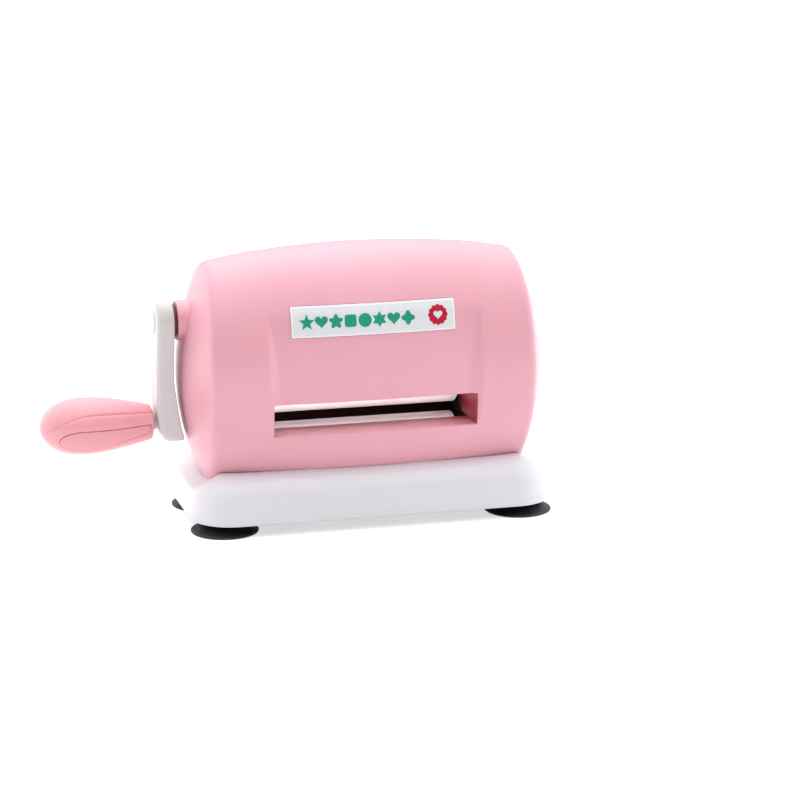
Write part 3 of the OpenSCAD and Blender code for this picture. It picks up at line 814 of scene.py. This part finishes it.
LINE = [Vector(v) for v in ((0.0, 6.6), (6, 6.9), (14, 7.4), (22, 7.9), (30, 8.2), (37, 7.7), (43, 6.3), (48, 4.2), (52, 1.9), (55, -0.2), (57.5, -2.0))]
def line_dense():
    out = []
    n = len(LINE)
    for i in range(n - 1):
        p0 = LINE[max(0, i - 1)]; p1 = LINE[i]; p2 = LINE[i + 1]; p3 = LINE[min(n - 1, i + 2)]
        for k in range(8):
            t = k / 8
            out.append(0.5 * ((2 * p1) + (p2 - p0) * t + (2 * p0 - 5 * p1 + 4 * p2 - p3) * t * t + (3 * p1 - p0 - 3 * p2 + p3) * t ** 3))
    out.append(LINE[-1])
    return out
LINED = line_dense()

def grip_mesh():
    N, M = 150, 300
    verts, faces = [], []
    avals = [0.0] + [58.4 * (1 - math.cos(math.pi * (i / N))) / 2 for i in range(1, N)]
    avals = sorted(set([0.0, 0.12, 0.35, 0.7, 1.0, 1.3] + [1.6 + (54.0 - 1.6) * i / 134 for i in range(135)]
                       + [54.0 + (58.3 - 54.0) * (1 - (1 - i / 14) ** 2) for i in range(1, 15)]))
    for a in avals:
        r = grip_r(a)
        for k in range(M):
            f = 2 * math.pi * k / M
            y, z = -math.cos(f), math.sin(f)
            rr = r
            if abs(y) > 0.05:
                p = Vector((a, z * r))
                dl = seg_dist(p, LINED, False)
                slope = max(0.35, abs(y))
                if dl < 1.0:
                    rr -= 0.7 * math.exp(-(dl / 0.42) ** 2)
                d = seg_dist(p, LOOPD)
                if inside(p, LOOPD):
                    rr -= 1.0 * smooth01(d / 0.28)
                elif d < 0.6:
                    rr -= 0.22 * (1 - d / 0.6)
            verts.append(P(GX0 - a, y * rr, GR_Z + z * rr))
    m = M
    n = len(avals)
    for i in range(n - 1):
        for k in range(m):
            l = (k + 1) % m
            faces.append((i * m + k, i * m + l, (i + 1) * m + l, (i + 1) * m + k))
    # rounded mouth round the pin
    ring0 = list(range(m))
    prev = ring0
    for (a, r) in ((-0.05, 7.2), (-0.05, 6.0), (0.1, 4.2), (0.6, 3.4), (3.0, 3.2)):
        base = len(verts)
        for k in range(m):
            f = 2 * math.pi * k / m
            verts.append(P(GX0 - a, -math.cos(f) * r, GR_Z + math.sin(f) * r))
        cur = list(range(base, base + m))
        for k in range(m):
            l = (k + 1) % m
            faces.append((prev[l], prev[k], cur[k], cur[l]))
        prev = cur
    c = len(verts); verts.append(P(GX0 - 3.0, 0, GR_Z))
    for k in range(m):
        faces.append((prev[(k + 1) % m], prev[k], c))
    tip = len(verts); verts.append(P(GX0 - 58.4, 0, GR_Z))
    last = (n - 1) * m
    for k in range(m):
        faces.append((last + k, last + (k + 1) % m, tip))
    ob = new_mesh("grip_body", verts, faces)
    recalc(ob)
    return ob

gr = grip_mesh()
done(gr, "grip", M_GRIP, ["grip"], 60)

def inlay_mesh(side, name):
    """Panel that fills the pocket on one side of the grip, with a fine gap round it."""
    cen = Vector((26.0, -4.2))
    n = len(LOOPD)
    # shrink the loop by the gap
    inner = []
    for i in range(n):
        p = LOOPD[i]; a = LOOPD[i - 1]; b = LOOPD[(i + 1) % n]
        t = (b - a); t.normalize()
        nrm = Vector((-t.y, t.x))
        if (cen - p).dot(nrm) < 0:
            nrm = -nrm
        inner.append(p + nrm * 0.42)
    rows = [(1.0, -1.15), (1.0, -0.45), (0.992, -0.18), (0.975, -0.03), (0.94, 0.03)] + [(k, 0.03) for k in (0.85, 0.72, 0.56, 0.38, 0.2)]
    verts, faces = [], []
    for k, off in rows:
        for p in inner:
            # rings close towards the panel's long middle line
            mid = Vector((min(44.0, max(5.0, p.x)), lerp(-1.4, -5.0, smooth01(p.x / 40))))
            q = mid + (p - mid) * k
            r = grip_r(q.x) + off
            h = max(-r, min(r, q.y))
            y = math.sqrt(max(0.0, r * r - h * h))
            verts.append(P(GX0 - q.x, side * y, GR_Z + h))
    m = n
    for i in range(len(rows) - 1):
        for j in range(m):
            l = (j + 1) % m
            faces.append((i * m + j, i * m + l, (i + 1) * m + l, (i + 1) * m + j))
    last = (len(rows) - 1) * m
    faces.append(tuple(last + j for j in range(m)))
    faces.append(tuple(reversed(range(m))))
    ob = new_mesh(name, verts, faces)
    bm = bmesh.new(); bm.from_mesh(ob.data)
    bmesh.ops.triangulate(bm, faces=[f for f in bm.faces if len(f.verts) > 4])
    bmesh.ops.recalc_face_normals(bm, faces=bm.faces)
    bm.to_mesh(ob.data); bm.free()
    return ob

i1 = inlay_mesh(-1, "grip_inlay_front")
done(i1, "grip", M_PINK_DARK, ["grip_inlays"], 45)
i2 = inlay_mesh(1, "grip_inlay_rear")
done(i2, "grip", M_PINK_DARK, ["grip_inlays"], 45)

# ------------------------------------------------------------------ rollers
def roller_mesh(name, z, x0, x1):
    prof = [(x0, 0), (x0, 4.0), (-54.2, 4.0), (-53.2, 6.2), (-51.2, 6.2), (-51.0, 14.5), (51.0, 14.5), (51.2, 6.2), (53.2, 6.2), (54.2, 4.0), (x1, 4.0), (x1, 0)]
    return lathe(name, fillet(prof, 0.5, 4), 128, "x+", 0, 0, z)

ur = roller_mesh("upper_roller_body", UP_Z, -79, 79)
done(ur, "upper_roller", M_CHROME, ["upper_roller"], 40)
lr = roller_mesh("lower_roller_body", LOW_Z, -63, 79)
done(lr, "lower_roller", M_CHROME, ["lower_roller"], 40)

# ------------------------------------------------------------------ name plate
LX, LZ, LW, LH = -1.0, 110.6, 86.6, 15.6
def plate_point(u, v, lift):
    """u, v in mm from the plate's middle; the plate is a thin sheet laid on the housing."""
    x = LX + u
    z = LZ + v
    y = surface_y(x, z)
    # stay on a gently bent sheet: blend with the chord between top and bottom
    zt, zb = LZ + LH / 2, LZ - LH / 2
    yt, yb = surface_y(x, zt), surface_y(x, zb)
    ch = lerp(yb, yt, (z - zb) / (zt - zb))
    y = max(y, ch) * 0.5 + max(ch, y) * 0.5
    return P(x, -(y + lift), z)

def sheet_mesh(name, outline_fn, nu, nv, w, h, lift0, lift1, r=0.8):
    verts, faces = [], []
    us = [-w / 2 + w * i / nu for i in range(nu + 1)]
    vs = [-h / 2 + h * j / nv for j in range(nv + 1)]
    for lift in (lift0, lift1):
        for u in us:
            for v in vs:
                k = 1.0
                verts.append(plate_point(u, v, lift))
    m = nv + 1
    n = (nu + 1) * m
    for i in range(nu):
        for j in range(nv):
            a, b, c, d = i * m + j, (i + 1) * m + j, (i + 1) * m + j + 1, i * m + j + 1
            faces.append((n + a, n + b, n + c, n + d))
            faces.append((d, c, b, a))
    for i in range(nu):
        a, b = i * m, (i + 1) * m
        faces.append((a, b, n + b, n + a))
        a, b = i * m + nv, (i + 1) * m + nv
        faces.append((b, a, n + a, n + b))
    for j in range(nv):
        a, b = j, j + 1
        faces.append((b, a, n + a, n + b))
        a, b = nu * m + j, nu * m + j + 1
        faces.append((a, b, n + b, n + a))
    ob = new_mesh(name, verts, faces)
    recalc(ob)
    bv = ob.modifiers.new("edge", "BEVEL")
    bv.width = 0.00022; bv.segments = 2; bv.limit_method = "ANGLE"; bv.angle_limit = math.radians(50)
    return ob

pl = sheet_mesh("name_plate_sheet", None, 86, 16, LW, LH, -0.5, 0.45)
done(pl, "root", M_LABEL, ["name_plate"], 40)

def printed(name, shape, cu, cv, mat, lift=0.52):
    """A flat printed figure on the plate: shape is a closed list of (u, v)."""
    n = len(shape)
    verts = []
    for k in (1.0, 0.66, 0.33):
        for (u, v) in shape:
            verts.append(plate_point(cu + u * k, cv + v * k, lift))
    verts.append(plate_point(cu, cv, lift))
    for (u, v) in shape:
        verts.append(plate_point(cu + u, cv + v, 0.40))
    faces = []
    for i in range(2):
        for j in range(n):
            l = (j + 1) % n
            faces.append((i * n + j, i * n + l, (i + 1) * n + l, (i + 1) * n + j))
    for j in range(n):
        faces.append((2 * n + j, 2 * n + (j + 1) % n, 3 * n))
        l = (j + 1) % n
        faces.append((3 * n + 1 + j, 3 * n + 1 + l, l, j))
    ob = new_mesh(name, verts, faces)
    recalc(ob)
    return done(ob, "root", mat, (), 40)

def frame_line(name, w, h, t, mat, lift):
    """A thin flat line laid just inside the plate's edge."""
    outer, inner = [], []
    def walk(a, b, r, out):
        for q, (cx, cy) in enumerate([(a - r, b - r), (r - a, b - r), (r - a, r - b), (a - r, r - b)]):
            for i in range(5):
                ang = math.pi / 2 * (q + i / 4)
                out.append((cx + r * math.cos(ang), cy + r * math.sin(ang)))
            nx, ny = [(r - a, b - r), (r - a, r - b), (a - r, r - b), (a - r, b - r)][q]
            ang = math.pi / 2 * (q + 1)
            x0, y0 = out[-1]; x1, y1 = nx + r * math.cos(ang), ny + r * math.sin(ang)
            for k in range(1, 40):
                out.append((lerp(x0, x1, k / 40), lerp(y0, y1, k / 40)))
    walk(w / 2, h / 2, 0.7, outer)
    walk(w / 2 - t, h / 2 - t, 0.5, inner)
    n = len(outer)
    verts = [plate_point(u, v, lift) for u, v in outer] + [plate_point(u, v, lift) for u, v in inner]
    verts += [plate_point(u, v, 0.38) for u, v in outer] + [plate_point(u, v, 0.38) for u, v in inner]
    faces = []
    for i in range(n):
        j = (i + 1) % n
        faces += [(i, j, n + j, n + i), (2 * n + i, 2 * n + j, j, i), (n + i, n + j, 3 * n + j, 3 * n + i), (3 * n + i, 3 * n + j, 2 * n + j, 2 * n + i)]
    ob = new_mesh(name, verts, faces)
    recalc(ob)
    return done(ob, "root", mat, (), 40)

# painted highlight: a white line just inside the edge stands in for the lit bevel of the plate
frame_line("plate_edge_highlight", LW - 0.35, LH - 0.35, 0.75, M_EDGE_HIGHLIGHT, 0.5)
# painted shadow: a dark pink sheet a little larger than the plate shows round its edge as the plate's contact shadow
shadow_sheet = sheet_mesh("plate_shadow_sheet", None, 86, 16, LW + 0.55, LH + 0.5, -0.6, 0.12)
done(shadow_sheet, "root", M_PLATE_SHADOW, (), 40)

def polar(fn, n=72):
    return [(fn(2 * math.pi * i / n) * math.cos(2 * math.pi * i / n), fn(2 * math.pi * i / n) * math.sin(2 * math.pi * i / n)) for i in range(n)]

def star(R, r, k=5):
    out = []
    for i in range(2 * k):
        a = math.pi / 2 + math.pi * i / k
        q = R if i % 2 == 0 else r
        b = math.pi / 2 + math.pi * (i + 1) / k
        q2 = r if i % 2 == 0 else R
        for t in range(6):
            f = t / 6
            out.append((lerp(q * math.cos(a), q2 * math.cos(b), f), lerp(q * math.sin(a), q2 * math.sin(b), f)))
    return out

def heart(s):
    out = []
    for i in range(72):
        t = 2 * math.pi * i / 72
        out.append((s * 16 * math.sin(t) ** 3 / 16, s * (13 * math.cos(t) - 5 * math.cos(2 * t) - 2 * math.cos(3 * t) - math.cos(4 * t)) / 16 + 0.1 * s))
    return list(reversed(out))

def superell(a, b, e=4, n=72):
    out = []
    for i in range(n):
        t = 2 * math.pi * i / n
        c, s = math.cos(t), math.sin(t)
        out.append((a * math.copysign(abs(c) ** (2 / e), c), b * math.copysign(abs(s) ** (2 / e), s)))
    return out

flower = polar(lambda t: 3.25 * (0.8 + 0.2 * math.cos(5 * t - math.pi / 2)))
scallop = polar(lambda t: 5.3 * (0.95 + 0.05 * math.cos(12 * t)), 144)
figures = [star(3.7, 1.6), heart(2.95), flower, superell(2.7, 2.7, 5), polar(lambda t: 3.0), star(3.5, 2.0, 6), heart(2.95),
           polar(lambda t: 3.15 * (0.82 + 0.18 * math.cos(4 * t)))]
figures = [[(1.16 * a, 1.16 * b) for a, b in f] for f in figures]
for i, f in enumerate(figures):
    printed("plate_figure_%d" % (i + 1), f, -35.2 + i * 7.6, -0.2, M_GREEN)
printed("plate_figure_9", scallop, 34.0, 0.2, M_RED)
printed("plate_figure_10", heart(2.4), 34.0, 0.1, M_LABEL, 0.58)

# ------------------------------------------------------------------ other CAD nodes: materials
BY_SLOT = {"pink_plastic": M_PINK, "white_plastic": M_WHITE, "label_white": M_LABEL, "black_plastic": M_BLACKP,
           "rubber_black": M_RUBBER, "roller_chrome": M_CHROME, "frame_steel": M_ZINC, "steel": M_STEEL, "brass": M_BRASS}
slot_of = {s["node"]: s.get("material_slot") for s in frame["record"]["subparts"]}
for n, ob in nodes.items():
    # painted shade: the side frames take the darkened steel for the shade inside the housing
    mat = M_FRAME_SHADE if n in ("frame_left", "frame_right") else BY_SLOT.get(slot_of.get(n), M_STEEL)
    ob.data.materials.clear()
    ob.data.materials.append(mat)

# ------------------------------------------------------------------ stage and light
floor = new_mesh("floor", [(-8, -8, 0), (8, -8, 0), (8, 12, 0), (-8, 12, 0)], [(0, 1, 2, 3)])
mf = Mat("floor_pale")
mf.link(mf.ramp(mf.noise(1.5, 2), [(0.3, (0.83, 0.83, 0.835)), (0.7, (0.85, 0.85, 0.855))]), mf.b.inputs["Base Color"])
mf.set(Roughness=0.95)
mf.b.inputs["Specular IOR Level"].default_value = 0.1
mf.b.inputs["Emission Color"].default_value = (1, 1, 1, 1)
# an even glow, as of a lit white table, that adds little light to the object
fl = mf.new("ShaderNodeLightPath")
fm = mf.new("ShaderNodeMath", operation="MAXIMUM")
mf.link(mf.maprange(fl.outputs["Is Camera Ray"], 0.06, 0.62, 0.0, 1.0), fm.inputs[0])
mf.link(mf.maprange(fl.outputs["Is Glossy Ray"], 0.06, 0.5, 0.0, 1.0), fm.inputs[1])
mf.link(fm.outputs[0], mf.b.inputs["Emission Strength"])
floor.data.materials.append(mf.m)

world = bpy.data.worlds.new("studio")
scene.world = world
world.use_nodes = True
wt = world.node_tree
bg = wt.nodes["Background"]
wc = wt.nodes.new("ShaderNodeTexCoord")
ws = wt.nodes.new("ShaderNodeSeparateXYZ")
def sky_part(axis, lo, hi, strength):
    """Brightness of the surround, rising from 0 at lo to strength at hi along one axis."""
    r = wt.nodes.new("ShaderNodeMapRange")
    r.interpolation_type = "SMOOTHSTEP"
    r.inputs["From Min"].default_value = lo
    r.inputs["From Max"].default_value = hi
    r.inputs["To Min"].default_value = 0.0
    r.inputs["To Max"].default_value = strength
    wt.links.new(ws.outputs[axis], r.inputs["Value"])
    return r.outputs["Result"]
wt.links.new(wc.outputs["Generated"], ws.inputs["Vector"])
wa = wt.nodes.new("ShaderNodeMath")
wa.operation = "ADD"
wt.links.new(sky_part("Y", 0.0, 0.7, 0.85), wa.inputs[0])
wt.links.new(sky_part("Z", 0.3, 0.95, 1.78), wa.inputs[1])
# the surround is seen as plain white, whatever it gives as light
wl = wt.nodes.new("ShaderNodeLightPath")
wx = wt.nodes.new("ShaderNodeMath")
wx.operation = "MAXIMUM"
wt.links.new(wa.outputs[0], wx.inputs[0])
wt.links.new(wl.outputs["Is Camera Ray"], wx.inputs[1])
wt.links.new(wx.outputs[0], bg.inputs["Strength"])
bg.inputs["Color"].default_value = (0.985, 0.99, 1.0, 1)

def area(name, loc, target, size, power, color=(1, 1, 1), size_y=None):
    d = bpy.data.lights.new(name, "AREA")
    d.energy = power
    d.size = size
    if size_y:
        d.shape = "RECTANGLE"; d.size_y = size_y
    d.color = color
    o = bpy.data.objects.new(name, d)
    scene.collection.objects.link(o)
    o.location = loc
    v = Vector(target) - Vector(loc)
    o.rotation_euler = v.to_track_quat("-Z", "Y").to_euler()
    return o

def sun(name, frm, strength, angle):
    d = bpy.data.lights.new(name, "SUN")
    d.energy = strength
    d.angle = math.radians(angle)
    o = bpy.data.objects.new(name, d)
    scene.collection.objects.link(o)
    o.rotation_euler = (-Vector(frm)).to_track_quat("-Z", "Y").to_euler()
    return o

area("overhead_box", (0.12, 0.25, 1.6), (0.0, 0.0, 0.08), 1.0, 5.0)
area("overback_box", (0.1, 1.2, 1.3), (0.0, 0.0, 0.08), 1.0, 0.8)
area("left_side", (-1.7, 0.05, 0.36), (0.0, 0.0, 0.08), 1.0, 4.9)
area("left_back", (-1.05, 1.15, 0.42), (0.0, 0.0, 0.08), 1.0, 3.4)
area("right_side", (1.7, -0.35, 0.5), (0.0, 0.0, 0.08), 1.9, 8.6, size_y=0.95)
area("right_back", (1.5, 0.95, 0.7), (0.0, 0.0, 0.08), 0.9, 1.4)
# a lamp that only looks into the slot, so the rollers show
slot_lamp = area("slot_lamp", (0.0, -1.25, 0.14), (0.035, 0.0, 0.06), 0.5, 20)
lit = bpy.data.collections.new("rollers")
lit.objects.link(ur)
lit.objects.link(lr)
slot_lamp.light_linking.receiver_collection = lit
slot_lamp.light_linking.blocker_collection = lit

scene.view_settings.view_transform = "Standard"
scene.view_settings.look = "None"
scene.view_settings.exposure = 0.0
scene.view_settings.gamma = 1.0
